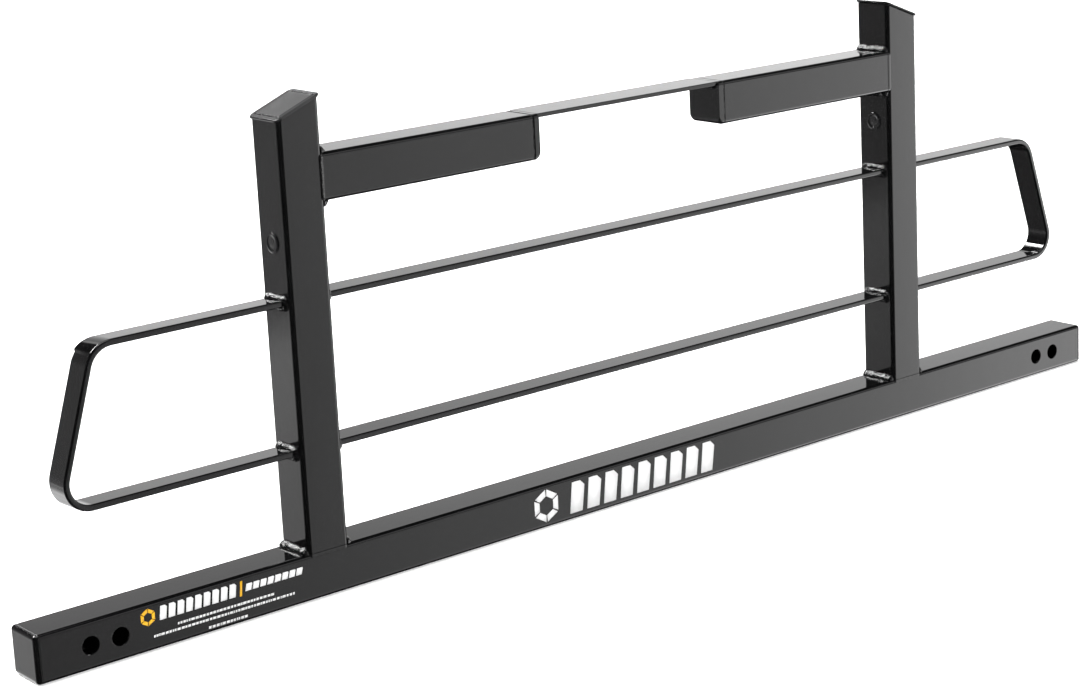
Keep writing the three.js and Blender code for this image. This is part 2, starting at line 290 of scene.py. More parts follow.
def apply_modifiers(obj):
    bpy.context.view_layer.update()
    evaluated = obj.evaluated_get(bpy.context.evaluated_depsgraph_get())
    mesh = bpy.data.meshes.new_from_object(evaluated)
    obj.modifiers.clear()
    obj.data = mesh


def drill(obj, radius, axis, centres, reach):
    """Cuts round holes through obj along an axis, "x" or "y"."""
    cutters = []
    for centre in centres:
        rings = [[centre + Vector((u, end, v) if axis == "y" else (end, u, v)) for u, v in circle(radius)]
                 for end in (-reach, reach)]
        cutter = loft("cutter", rings)
        cutters.append(cutter)
        cut = obj.modifiers.new("hole", "BOOLEAN")
        cut.operation = "DIFFERENCE"
        cut.solver = "EXACT"
        cut.object = cutter
    apply_modifiers(obj)
    for cutter in cutters:
        bpy.data.objects.remove(cutter)


# ---------------------------------------------------------------- materials

class Nodes:
    """A short way to add nodes to a tree."""

    def __init__(self, tree):
        self.tree = tree
        tree.nodes.clear()

    def add(self, kind, **inputs):
        node = self.tree.nodes.new(kind)
        for key, value in inputs.items():
            self.put(node, key, value)
        return node

    def put(self, node, key, value):
        """Fills or links one input: "_2" is the third input, and "Base_Color" the one called Base Color."""
        by_number = key[0] == "_" and key[1:].isdigit()
        socket = node.inputs[int(key[1:]) if by_number else key.replace("_", " ")]
        if isinstance(value, bpy.types.NodeSocket):
            self.tree.links.new(value, socket)
        else:
            socket.default_value = value

    def math(self, operation, a, b=0.0, c=0.0):
        node = self.tree.nodes.new("ShaderNodeMath")
        node.operation = operation
        self.put(node, "_0", a)
        self.put(node, "_1", b)
        self.put(node, "_2", c)
        return node.outputs[0]

    def ramp(self, value, low, high, out_low=0.0, out_high=1.0, smooth=True):
        node = self.tree.nodes.new("ShaderNodeMapRange")
        node.interpolation_type = "SMOOTHSTEP" if smooth else "LINEAR"
        for key, number in (("_0", value), ("_1", low), ("_2", high), ("_3", out_low), ("_4", out_high)):
            self.put(node, key, number)
        return node.outputs[0]

    def curve(self, value, stops):
        """A level that follows stops, pairs of a value and the level there, in straight lines."""
        low = stops[0][0]
        high = stops[-1][0]
        peak = max(level for _, level in stops)
        place = self.ramp(value, low, high, smooth=False)
        node = self.tree.nodes.new("ShaderNodeValToRGB")
        node.color_ramp.interpolation = "LINEAR"
        elements = node.color_ramp.elements
        while len(elements) < len(stops):
            elements.new(0.5)
        for element, (at, level) in zip(elements, stops):
            element.position = (at - low) / (high - low)
            element.color = (level / peak, level / peak, level / peak, 1)
        self.put(node, "Fac", place)
        return self.math("MULTIPLY", node.outputs[0], peak)

    def noise(self, scale, detail=2.0, roughness=0.5, vector=None):
        node = self.add("ShaderNodeTexNoise", Scale=scale, Detail=detail, Roughness=roughness)
        if vector is not None:
            self.put(node, "Vector", vector)
        return node.outputs["Fac"]

    def bump(self, scale, depth, vector, below=None):
        """A relief of noise, which lies over another relief where below is given."""
        relief = self.noise(scale, 2.0, 0.5, vector)
        node = self.add("ShaderNodeBump", Strength=1.0, Distance=depth, Height=relief)
        if below is not None:
            self.put(node, "Normal", below.outputs[0])
        return node


def coating(name, dark, light, rough_low, rough_high,
            peel_scale, peel_depth, wave_scale, wave_depth, ior=1.5):
    """A coated surface: a colour that drifts a little, uneven gloss, and fine peel over slow waves."""
    material = bpy.data.materials.new(name)
    material.use_nodes = True
    nodes = Nodes(material.node_tree)
    place = nodes.add("ShaderNodeTexCoord").outputs["Object"]
    shader = nodes.add("ShaderNodeBsdfPrincipled", IOR=ior)
    drift = nodes.noise(14.0, 4.0, 0.6, place)
    colour = nodes.tree.nodes.new("ShaderNodeValToRGB")
    colour.color_ramp.elements[0].position = 0.3
    colour.color_ramp.elements[0].color = (*dark, 1)
    colour.color_ramp.elements[1].position = 0.75
    colour.color_ramp.elements[1].color = (*light, 1)
    nodes.put(colour, "Fac", drift)
    nodes.put(shader, "Base_Color", colour.outputs[0])
    gloss = nodes.noise(60.0, 5.0, 0.65, place)
    nodes.put(shader, "Roughness", nodes.ramp(gloss, 0.3, 0.7, rough_low, rough_high))
    wave = nodes.bump(wave_scale, wave_depth, place)
    peel = nodes.bump(peel_scale, peel_depth, place, below=wave)
    nodes.put(shader, "Normal", peel.outputs[0])
    output = nodes.add("ShaderNodeOutputMaterial")
    nodes.tree.links.new(shader.outputs[0], output.inputs[0])
    return material


STEEL = coating("powder_coat", (0.0022, 0.0022, 0.0023), (0.0036, 0.0036, 0.0038), 0.05, 0.09,
                peel_scale=420, peel_depth=0.006 * MM, wave_scale=45, wave_depth=0.03 * MM)
WELD = coating("powder_coat_weld", (0.0022, 0.0022, 0.0023), (0.0040, 0.0040, 0.0042), 0.05, 0.11,
               peel_scale=900, peel_depth=0.03 * MM, wave_scale=560, wave_depth=0.7 * MM, ior=1.62)
PLASTIC = coating("moulded_plastic", (0.006, 0.006, 0.0062), (0.010, 0.010, 0.0104), 0.12, 0.18,
                  peel_scale=1400, peel_depth=0.01 * MM, wave_scale=60, wave_depth=0.02 * MM, ior=1.49)
WHITE = coating("white_print", (0.70, 0.70, 0.70), (0.76, 0.76, 0.76), 0.35, 0.45,
                peel_scale=900, peel_depth=0.008 * MM, wave_scale=50, wave_depth=0.02 * MM)
YELLOW = coating("yellow_print", (0.66, 0.34, 0.008), (0.74, 0.40, 0.012), 0.35, 0.45,
                 peel_scale=900, peel_depth=0.008 * MM, wave_scale=50, wave_depth=0.02 * MM)


def mount(obj, material, *nodes):
    """Gives a piece its material and body, and hides the CAD nodes that it stands for."""
    obj.data.materials.clear()
    obj.data.materials.append(material)
    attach(obj, BODY)
    if nodes:
        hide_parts(*nodes)


# ---------------------------------------------------------------- places from the CAD frame

RAIL_LOW, RAIL_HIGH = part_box("bottom_rail")
TUBE = RAIL_HIGH.z - RAIL_LOW.z
HALF_TUBE = TUBE / 2
RAIL_TOP = RAIL_HIGH.z
RAIL_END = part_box("rail_end_plate_right")[1].x
PLATE_INNER = RAIL_HIGH.x
UPRIGHT_LOW, UPRIGHT_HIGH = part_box("upright_right")
UPRIGHT_INNER = UPRIGHT_LOW.x
UPRIGHT_OUTER = UPRIGHT_HIGH.x
UPRIGHT_CENTRE = (UPRIGHT_INNER + UPRIGHT_OUTER) / 2
UPRIGHT_TOP = UPRIGHT_HIGH.z
WIRING_HEIGHT = sum(corner.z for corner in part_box("hole_plug_right_inner")) / 2
BRACKET_LOW, BRACKET_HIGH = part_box("light_bracket_right")
BRACKET_TOP = BRACKET_HIGH.z
BRACKET_BOTTOM = BRACKET_LOW.z
TIP_LOW, TIP_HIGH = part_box("bracket_end_plate_right")
BRIDGE_LOW, BRIDGE_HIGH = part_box("bridge_bar")
FRONT = -HALF_TUBE


# ---------------------------------------------------------------- rail, uprights and brackets

def tube_rings(place, start, end):
    """The four rings of an open tube; place turns (u, v, end) into a point."""
    outer = rounded_rectangle(TUBE, TUBE, CORNER)
    inner = rounded_rectangle(TUBE - 2 * WALL, TUBE - 2 * WALL, INSIDE_CORNER)
    return [[place(u, v, end_at) for u, v in ring]
            for ring, end_at in ((outer, start), (outer, end), (inner, end), (inner, start))]


def along_x(height):
    return lambda u, v, x: Vector((x, u, v + height))


def make_rail():
    rail = loft("rail_tube", tube_rings(along_x(HALF_TUBE), -PLATE_INNER, PLATE_INNER), closed=True)
    centres = []
    for opening in frame["record"]["physics"]["openings"]:
        if opening["name"].startswith("bolt_hole"):
            low, high = opening["box_m"]
            centres.append(Vector(((low[0] + high[0]) / 2, 0, (low[2] + high[2]) / 2)))
    drill(rail, BOLT_HOLE_RADIUS, "y", centres, TUBE)
    mount(flat_shade(bevel(rail, RAIL_HOLE_EDGE)), STEEL, "bottom_rail")


def make_rail_end_plates():
    for name, side in SIDES:
        rings = []
        for x, inset in [(PLATE_INNER, 0.0)] + rounded_edge(RAIL_END, PLATE_ROUNDING, PLATE_STEPS):
            width = TUBE - 2 * inset
            outline = rounded_rectangle(width, width, max(CORNER - inset, PLATE_LEAST_CORNER))
            rings.append([Vector((side * x, u, v + HALF_TUBE)) for u, v in outline])
        mount(flat_shade(loft(f"rail_end_{name}", rings)), STEEL, f"rail_end_plate_{name}")


def top_height(x, side):
    """Height of the upright's slanted top at x."""
    return UPRIGHT_TOP - UPRIGHT_TOP_DROP * (side * x - UPRIGHT_INNER) / TUBE


def make_uprights():
    for name, side in SIDES:
        centre = side * UPRIGHT_CENTRE

        def place(u, v, end):
            x = centre + u
            return Vector((x, v, top_height(x, side) if end else RAIL_TOP))

        post = loft(f"post_{name}", tube_rings(place, 0, 1), closed=True)
        drill(post, WIRING_HOLE_RADIUS, "x", [Vector((centre, 0, WIRING_HEIGHT))], TUBE)
        mount(flat_shade(bevel(post, POST_HOLE_EDGE)), STEEL, f"upright_{name}")


def make_brackets():
    for name, side in SIDES:
        # the end at the plate turns in towards the seam
        seam = TIP_SEAMS[name]
        at = TIP_HIGH.x + seam["gap"] / 2
        around = [Vector((0, u, v)) for u, v in rounded_normals()]
        rings = []
        normals = []
        for i in range(SHOULDER_STEPS + 1):
            turn = math.pi / 2 * i / SHOULDER_STEPS
            inset = seam["shoulder"] * (1 - math.sin(turn))
            outline = rounded_rectangle(TUBE - 2 * inset, TUBE - 2 * inset, CORNER - inset)
            x = at + seam["shoulder"] * (1 - math.cos(turn))
            rings.append([Vector((side * x, u, v + BRACKET_TOP - HALF_TUBE)) for u, v in outline])
            outward = Vector((side * math.cos(turn), 0, 0))
            normals += [normal * math.sin(turn) - outward for normal in around]
        rings += tube_rings(along_x(BRACKET_TOP - HALF_TUBE), side * at, side * UPRIGHT_INNER)[1:]
        inwards = [-normal for normal in around]
        arm = loft(f"bracket_arm_{name}", rings, closed=True)
        mount(exact_normals(arm, normals + around + inwards + inwards), STEEL, f"light_bracket_{name}")


def make_bracket_plates():
    """The tip of each bracket: edges rounded along the tube, and the corner under the bridge ground round."""
    half = rounded_edge(HALF_TUBE, CORNER, BRACKET_PLATE_EDGE_STEPS)
    profile = [(-y, inset) for y, inset in reversed(half)] + half
    middle = (BRACKET_TOP + BRACKET_BOTTOM) / 2
    radius = BRACKET_PLATE_CORNER
    for name, side in SIDES:
        inner = TIP_HIGH.x - TIP_SEAMS[name]["gap"] / 2
        outline = [(inner, BRACKET_TOP), (TIP_LOW.x + BRACKET_PLATE_CHAMFER, BRACKET_TOP),
                   (TIP_LOW.x, BRACKET_TOP - BRACKET_PLATE_CHAMFER)]
        for i in range(BRACKET_PLATE_CORNER_STEPS + 1):
            angle = math.pi * (1 + 0.5 * i / BRACKET_PLATE_CORNER_STEPS)
            outline.append((TIP_LOW.x + radius * (1 + math.cos(angle)),
                            BRACKET_BOTTOM + radius * (1 + math.sin(angle))))
        outline.append((inner, BRACKET_BOTTOM))
        rings = []
        for y, inset in profile:
            ring = []
            for x, z in outline:
                up = 1 if z > middle else -1
                drop = min(inset, abs(z - middle))
                ring.append(Vector((side * x, y, z - up * drop)))
            rings.append(ring)
        plate = loft(f"bracket_tip_{name}", rings)
        mount(flat_shade(bevel(plate, BRACKET_PLATE_EDGE)), STEEL, f"bracket_end_plate_{name}")


def make_bridge():
    size = BRIDGE_HIGH - BRIDGE_LOW
    section = rounded_rectangle(size.y, size.z, BRIDGE_EDGE, EDGE_STEPS)
    middle = (BRIDGE_HIGH + BRIDGE_LOW) / 2
    rings = [[Vector((x, u + middle.y, v + middle.z)) for u, v in section]
             for x in (-TIP_LOW.x, TIP_LOW.x)]
    around = [Vector((0, u, v)) for u, v in rounded_normals(EDGE_STEPS)]
    mount(exact_normals(loft("bridge_flat", rings), around * 2), STEEL, "bridge_bar")


# ---------------------------------------------------------------- flat bars

def make_crossbars():
    for level in ("upper", "lower"):
        low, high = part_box(f"crossbar_{level}")
        section = rounded_rectangle(high.y - low.y, high.z - low.z, BAR_EDGE, EDGE_STEPS)
        height = (low.z + high.z) / 2
        rings = [[Vector((x, u, v + height)) for u, v in section] for x in (-UPRIGHT_INNER, UPRIGHT_INNER)]
        around = [Vector((0, u, v)) for u, v in rounded_normals(EDGE_STEPS)]
        mount(exact_normals(loft(f"cross_flat_{level}", rings), around * 2), STEEL, f"crossbar_{level}")


def loop_path(top, bottom, reach_top, reach_bottom):
    """The outer line of a side loop: X, Z, the outward angle and the press mark's share at each point."""
    lean = math.atan2(reach_bottom - reach_top, top - bottom)
    x_top = UPRIGHT_OUTER + reach_top - LOOP_BEND_TOP * math.tan((math.pi / 2 - lean) / 2)
    x_bottom = UPRIGHT_OUTER + reach_bottom - LOOP_BEND_BOTTOM * math.tan((math.pi / 2 + lean) / 2)
    bends = ((x_top, top - LOOP_BEND_TOP, LOOP_BEND_TOP, math.pi / 2, lean, True),
             (x_bottom, bottom + LOOP_BEND_BOTTOM, LOOP_BEND_BOTTOM, lean, -math.pi / 2, False))
    points = [(UPRIGHT_OUTER, top, math.pi / 2, 0.0)]
    for x, z, radius, start, end, pressed in bends:
        for i in range(BEND_STEPS + 1):
            angle = start + (end - start) * i / BEND_STEPS
            along = i / BEND_STEPS
            rise = min(along / PRESS_MARK_END, 1)
            share = rise * rise * (3 - 2 * rise) if pressed and along <= PRESS_MARK_END else 0.0
            points.append((x + radius * math.cos(angle), z + radius * math.sin(angle), angle, share))
    points.append((UPRIGHT_OUTER, bottom, -math.pi / 2, 0.0))
    return points


def make_loops():
    bar_low, bar_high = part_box("crossbar_upper")
    thickness = bar_high.z - bar_low.z
    for name, side in SIDES:
        low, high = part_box(f"side_loop_{name}")
        width = high.y - low.y
        reach = max(abs(low.x), abs(high.x)) - UPRIGHT_OUTER
        reach_bottom = corner_reach(high.z, low.z, reach)
        section = rounded_rectangle(width, thickness, BAR_EDGE, EDGE_STEPS)
        rings = []
        normals = []
        flares = []
        for x, z, angle, share in loop_path(high.z, low.z, LOOP_LENGTH_TOP, reach_bottom):
            out = Vector((math.cos(angle), 0, math.sin(angle)))
            base = Vector((x, 0, z)) - out * thickness / 2
            tilt = ARM_TILT * math.sin(angle) if name == "left" else 0.0
            across = Vector((0, math.cos(tilt), 0)) - out * math.sin(tilt)
            upright = out * math.cos(tilt) + Vector((0, math.sin(tilt), 0))
            flare = PRESS_MARK * share if name == "left" else 0.0
            flares.append(flare)
            ring = []
            for u, v in section:
                slant = PRESS_MARK_MIDDLE + PRESS_MARK_SLANT * u / width
                swell = flare * slant * max(v, 0) / (thickness / 2)
                ring.append(base + upright * (v + swell) + across * u)
            rings.append([Vector((side * p.x, p.y, p.z)) for p in ring])
            for u, v in rounded_normals(EDGE_STEPS):
                normal = upright * v + across * u
                normals.append(Vector((side * normal.x, normal.y, normal.z)))
        # normals stay square to the bar where its flare rises or falls
        count = len(section)
        for i in range(1, len(rings) - 1):
            if flares[i - 1] != flares[i + 1]:
                for j in range(count):
                    along = (rings[i + 1][j] - rings[i - 1][j]).normalized()
                    normal = normals[i * count + j]
                    normals[i * count + j] = (normal - along * normal.dot(along)).normalized()
        mount(exact_normals(loft(f"loop_bar_{name}", rings), normals), STEEL, f"side_loop_{name}")


def corner_reach(top, bottom, reach):
    """How far the sharp lower corner stands out, from how far the rounded one does."""
    low, high = reach, reach + LOOP_BEND_BOTTOM
    for _ in range(REACH_HALVINGS):
        trial = (low + high) / 2
        lean = math.atan2(trial - LOOP_LENGTH_TOP, top - bottom)
        found = trial - LOOP_BEND_BOTTOM * math.tan((math.pi / 2 + lean) / 2) + LOOP_BEND_BOTTOM
        if found < reach:
            low = trial
        else:
            high = trial
    return trial


# ---------------------------------------------------------------- welds

def weld(name, node, path, along, leg, closed=False, end=0.0):
    """A rippled fillet bead. path holds pairs of the corner's point and the direction out of the corner
    across one face; along is the direction out of the corner across the other face. An open bead tapers
    over the length end."""
    shift = noise_shift(name)
    travel = [0.0]
    for (p, n), (q, m) in zip(path, path[1:]):
        travel.append(travel[-1] + ((q + m * leg / 2) - (p + n * leg / 2)).length)
    total = travel[-1]
    pitch = total / round(total / RIPPLE_PITCH) if closed else RIPPLE_PITCH
    rings = []
    for (point, out), run in zip(path, travel):
        size = 1.0
        if not closed and end > 0:
            near = min(run, total - run) / end
            if near < 1:
                size = max(math.sqrt(max(0.0, 1 - (1 - near) ** 2)), BEAD_LEAST_SIZE)
        wobble = 1 + BEAD_WOBBLE * noise.noise(shift + point * BEAD_WOBBLE_SCALE)
        wobble += BEAD_FINE_WOBBLE * noise.noise(shift - point * BEAD_FINE_WOBBLE_SCALE)
        reach = leg * size * wobble
        ring = [point - (out + along) * BEAD_ROOT]
        for k in range(BEAD_SIDES):
            turn = math.pi / 2 * k / (BEAD_SIDES - 1)
            across = 2 * k / (BEAD_SIDES - 1) - 1
            phase = (run + RIPPLE_LAG * (1 - across * across)) / pitch
            beat = noise.noise(shift + Vector((math.floor(phase) * RIPPLE_CHANGE_STEP, 0, 0)))
            ripple = abs(math.sin(math.pi * phase)) ** RIPPLE_POWER
            lift = 0.0
            if 0 < k < BEAD_SIDES - 1:
                level = RIPPLE_LEVEL + RIPPLE_CHANGE * beat
                lift = RIPPLE_HEIGHT * level * ripple * math.sqrt(math.sin(2 * turn))
            over, up = (reach * share ** BEAD_BULGE for share in (math.cos(turn), math.sin(turn)))
            place = point + out * over + along * up
            lift += BEAD_SCATTER * noise.noise(shift + place * BEAD_SCATTER_SCALE)
            ring.append(place + (out * math.cos(turn) + along * math.sin(turn)) * lift * size)
        rings.append(ring)
    if closed:
        rings = rings[:-1]
    mount(loft(name, rings, closed), WELD, node)


def straight_path(start, end, out):
    count = max(8, round((end - start).length / BEAD_STEP))
    return [(start.lerp(end, i / count), out) for i in range(count + 1)]


def bar_path(x, height, width, thickness, radius):
    """Around a flat bar's section at x, with the direction away from the bar."""
    pairs = []
    for sy, sz, start in ((1, 1, 0), (-1, 1, 90), (-1, -1, 180), (1, -1, 270)):
        for i in range(BAR_BEAD_CORNER_STEPS + 1):
            angle = math.radians(start + 90 * i / BAR_BEAD_CORNER_STEPS)
            out = Vector((0, math.cos(angle), math.sin(angle)))
            centre = Vector((x, sy * (width / 2 - radius), height + sz * (thickness / 2 - radius)))
            pairs.append((centre + out * radius, out))
    dense = []
    pairs.append(pairs[0])
    for (p, n), (q, m) in zip(pairs, pairs[1:]):
        count = max(1, round((q - p).length / BEAD_STEP))
        dense += [(p.lerp(q, i / count), n.lerp(m, i / count).normalized()) for i in range(count)]
    dense.append(pairs[0])
    return dense


def make_bar_welds():
    for name, side in SIDES:
        for level in ("upper", "lower"):
            low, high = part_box(f"crossbar_{level}")
            width = high.y - low.y
            thickness = high.z - low.z
            height = (high.z + low.z) / 2
            for what, face, away in (("crossbar", UPRIGHT_INNER, -side), ("loop", UPRIGHT_OUTER, side)):
                path = bar_path(side * face, height, width, thickness, BAR_EDGE)
                weld(f"bead_{what}_{name}_{level}", f"weld_{what}_{name}_{level}", path,
                     Vector((away, 0, 0)), BAR_BEAD_LEG, closed=True)


def make_tip_welds():
    """A thin bead sunk in the seam between each bracket and its end plate."""
    centre_z = BRACKET_TOP - HALF_TUBE
    width = TUBE - 2 * TIP_BEAD_INSET
    outline = rounded_rectangle(width, width, CORNER - TIP_BEAD_INSET, TIP_BEAD_CORNER_STEPS)
    outs = rounded_normals(TIP_BEAD_CORNER_STEPS)
    turns = [2 * math.pi * k / TIP_BEAD_SIDES for k in range(TIP_BEAD_SIDES)]
    for name, side in SIDES:
        seam = TIP_SEAMS[name]
        shift = noise_shift(f"tip_{name}")
        pairs = []
        for (p, n), (q, m) in zip(zip(outline, outs), zip(outline[1:] + outline[:1], outs[1:] + outs[:1])):
            count = max(1, round(math.dist(p, q) / BEAD_STEP))
            for i in range(count):
                pairs.append([a + (b - a) * i / count for a, b in zip((*p, *n), (*q, *m))])
        rings = []
        for step, (u, v, nu, nv) in enumerate(pairs):
            out = Vector((0, nu, nv)).normalized()
            centre = Vector((side * TIP_HIGH.x, u, v + centre_z)) - out * (seam["depth"] - TIP_BEAD_INSET)
            wave = 0.5 + 0.5 * math.cos(2 * math.pi * step * BEAD_STEP / RIPPLE_PITCH)
            wobble = noise.noise(shift + centre * TIP_BEAD_WOBBLE_SCALE)
            radius = seam["radius"] * (TIP_BEAD_LEAST + TIP_BEAD_RIPPLE * wave + TIP_BEAD_WOBBLE * wobble)
            rings.append([centre + out * (radius * math.cos(turn)) + Vector((radius * math.sin(turn), 0, 0))
                          for turn in turns])
        mount(loft(f"tip_bead_{name}", rings, closed=True), WELD)


def make_tube_welds():
    flat = HALF_TUBE - TUBE_BEAD_INSET
    up = Vector((0, 0, 1))
    for name, side in SIDES:
        outward = Vector((side, 0, 0))
        for what, x, z, out, along in (
                (f"foot_{name}_outer", UPRIGHT_OUTER, RAIL_TOP, outward, up),
                (f"foot_{name}_inner", UPRIGHT_INNER, RAIL_TOP, -outward, up),
                (f"bracket_{name}_top", UPRIGHT_INNER, BRACKET_TOP, -outward, up),
                (f"bracket_{name}_bottom", UPRIGHT_INNER, BRACKET_BOTTOM, -outward, -up)):
            path = straight_path(Vector((side * x, -flat, z)), Vector((side * x, flat, z)), out)
            weld(f"bead_{what}", f"weld_{what}", path, along, TUBE_BEAD_LEG, end=TUBE_BEAD_END)
        start = Vector((side * TIP_LOW.x, BRIDGE_LOW.y + BRIDGE_BEAD_INSET, BRIDGE_LOW.z))
        end = Vector((side * TIP_LOW.x, BRIDGE_HIGH.y - BRIDGE_BEAD_INSET, BRIDGE_LOW.z))
        weld(f"bead_bridge_{name}", f"weld_bridge_{name}", straight_path(start, end, -outward), -up,
             BRIDGE_BEAD_LEG, end=BRIDGE_BEAD_END)


def seam_fill(name, start, end, face_out, across, half_width, crown, ripple=0.0):
    """A weld that fills the groove between two rounded tube corners and ends up nearly flush.
    It runs from start to end on the face whose normal is face_out; across is the direction over the seam."""
    shift = noise_shift(name)
    length = (end - start).length
    count = round(length / BEAD_STEP)
    rings = []
    for i in range(count + 1):
        point = start.lerp(end, i / count)
        run = length * i / count
        near = min(run, length - run) / CORNER
        sink = 0.0
        if near < 1:
            sink = SEAM_END_SINK * (1 - math.sqrt(max(0.0, 1 - (1 - near) ** 2)))
        ring = []
        for k in range(SEAM_SIDES + 1):
            spot = 2 * k / SEAM_SIDES - 1
            bulge = 1 - spot * spot
            wave = 0.5 + 0.5 * math.cos(2 * math.pi * (run + SEAM_LAG * bulge) / RIPPLE_PITCH)
            rise = (crown + ripple * wave) * bulge
            rise += SEAM_SCATTER * noise.noise(shift + point * SEAM_SCATTER_SCALE)
            ring.append(point + across * (spot * half_width) + face_out * (rise - sink))
        ring.append(point + across * half_width - face_out * SEAM_DEPTH)
        ring.append(point - across * half_width - face_out * SEAM_DEPTH)
        rings.append(ring)
    mount(loft(name, rings), WELD if ripple > PROUD_RIPPLE else STEEL)


def make_seam_fills():
    for name, side in SIDES:
        for face, out in (("front", -1), ("back", 1)):
            normal = Vector((0, out, 0))
            y = out * HALF_TUBE
            z = RAIL_TOP - CORNER / 2
            start = Vector((side * UPRIGHT_INNER, y, z))
            end = Vector((side * UPRIGHT_OUTER, y, z))
            seam_fill(f"foot_seam_{name}_{face}", start, end, normal, Vector((0, 0, 1)),
                      FOOT_SEAM_HALF_WIDTH, FOOT_SEAM_CROWN)
            x = side * (UPRIGHT_INNER + BRACKET_SEAM_OFFSET)
            crown = BRACKET_SEAM_CROWN[name]
            start = Vector((x, y, BRACKET_BOTTOM))
            end = Vector((x, y, BRACKET_TOP))
            seam_fill(f"bracket_seam_{name}_{face}", start, end, normal, Vector((1, 0, 0)),
                      BRACKET_SEAM_HALF_WIDTH, crown, ripple=BRACKET_SEAM_RIPPLE * crown)


# ---------------------------------------------------------------- caps and plugs

def make_caps():
    for name, side in SIDES:
        low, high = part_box(f"upright_cap_{name}")
        width = high.y - low.y
        centre = side * UPRIGHT_CENTRE
        flange = high.z - top_height(side * (UPRIGHT_INNER - CAP_OVERHANG), side)
        skirt = (width - TUBE) / 2 + WALL + CAP_CLEARANCE
        # pairs of inset from the flange's edge and height over the upright's top
        profile = [(skirt, -CAP_SKIRT), (skirt, 0.3 * MM), (1.7 * MM, 0.32 * MM), (1.0 * MM, 0.42 * MM),
                   (0.5 * MM, 0.65 * MM), (0.15 * MM, 1.0 * MM), (0.0, 1.35 * MM), (0.1 * MM, 1.7 * MM),
                   (0.4 * MM, 2.0 * MM), (0.9 * MM, 2.2 * MM), (4.3 * MM, 2.3 * MM), (4.7 * MM, 2.2 * MM),
                   (5.1 * MM, 1.7 * MM), (5.9 * MM, 1.7 * MM), (6.3 * MM, 2.2 * MM), (6.7 * MM, 2.32 * MM),
                   (8.0 * MM, 2.35 * MM)]
        top = profile[-1][1]
        rings = []
        for inset, lift in profile:
            lift = lift * flange / top if lift > 0 else lift
            corner = max(CORNER + CAP_OVERHANG - inset, CAP_LEAST_CORNER)
            ring = rounded_rectangle(width - 2 * inset, width - 2 * inset, corner)
            rings.append([Vector((centre + u, v, top_height(centre + u, side) + lift)) for u, v in ring])
        mount(flat_shade(loft(f"cap_{name}", rings)), PLASTIC, f"upright_cap_{name}")


def make_plugs():
    # pairs of radius and height over the upright's face, in millimetres
    profile = [(8.6, -5.0), (8.7, -4.6), (8.7, 0.02), (10.9, 0.02), (11.0, 0.25), (11.0, 0.8), (10.8, 1.2),
               (10.3, 1.55), (9.6, 1.75), (8.8, 1.8), (8.2, 1.7), (7.7, 1.4), (7.3, 1.05), (6.8, 0.85),
               (5.6, 0.8), (4.4, 0.84), (4.0, 0.95), (3.6, 1.0), (2.0, 1.02)]
    for name, side in SIDES:
        for where, face, away in (("outer", UPRIGHT_OUTER, side), ("inner", UPRIGHT_INNER, -side)):
            rings = [[Vector((side * face + away * lift * MM, u, WIRING_HEIGHT + v))
                      for u, v in circle(radius * MM, PLUG_STEPS)] for radius, lift in profile]
            mount(flat_shade(loft(f"plug_{name}_{where}", rings)), PLASTIC, f"hole_plug_{name}_{where}")


# ---------------------------------------------------------------- mark and label

def print_object(name, outlines, material, *nodes):
    """Thin printed shapes on the rail's front; each outline is a list of X and Z."""
    verts = []
    faces = []
    for outline in outlines:
        rings = [[Vector((x, FRONT - PRINT_GAP - depth, z)) for x, z in outline]
                 for depth in (0.0, PRINT_THICKNESS)]
        more, skin = loft_parts(rings)
        faces += [tuple(index + len(verts) for index in face) for face in skin]
        verts += more
    mount(mesh_object(name, verts, faces), material, *nodes)


def slanted_block(left, right, bottom, top, slant=0.0, notch=0.0):
    """A slanted bar, with its upper right corner cut off by notch."""
    shift = slant * (top - bottom)
    return [(left, bottom), (right, bottom), (right + shift, top - notch), (right + shift - notch, top),
            (left + shift, top)]


def hexagon_bars(centre_x, centre_z, radius, width):
    """A hexagonal ring as six bars with small gaps."""
    bars = []
    for i in range(6):
        start = math.radians(60 * i + 33)
        end = math.radians(60 * i + 87)
        corners = ((radius, start), (radius, end), (radius - width, end), (radius - width, start))
        bars.append([(centre_x + r * math.cos(turn), centre_z + r * math.sin(turn)) for r, turn in corners])
    return bars


def row_of_blocks(left, right, bottom, top, count, gap, slant, notch):
    step = (right - left + gap) / count
    starts = [left + i * step for i in range(count)]
    return [slanted_block(start, start + step - gap, bottom, top, slant, notch) for start in starts]


def dashes(left, right, height, size, seed):
    """A line of thin dashes of uneven length."""
    draw = random.Random(seed)
    found = []
    x = left
    while x < right - LEAST_DASH:
        end = min(x + draw.uniform(*DASH_LENGTHS) * MM, right)
        found.append(slanted_block(x, end, height - size / 2, height + size / 2, DASH_SLANT))
        x = end + draw.uniform(*DASH_GAPS) * MM
    return found


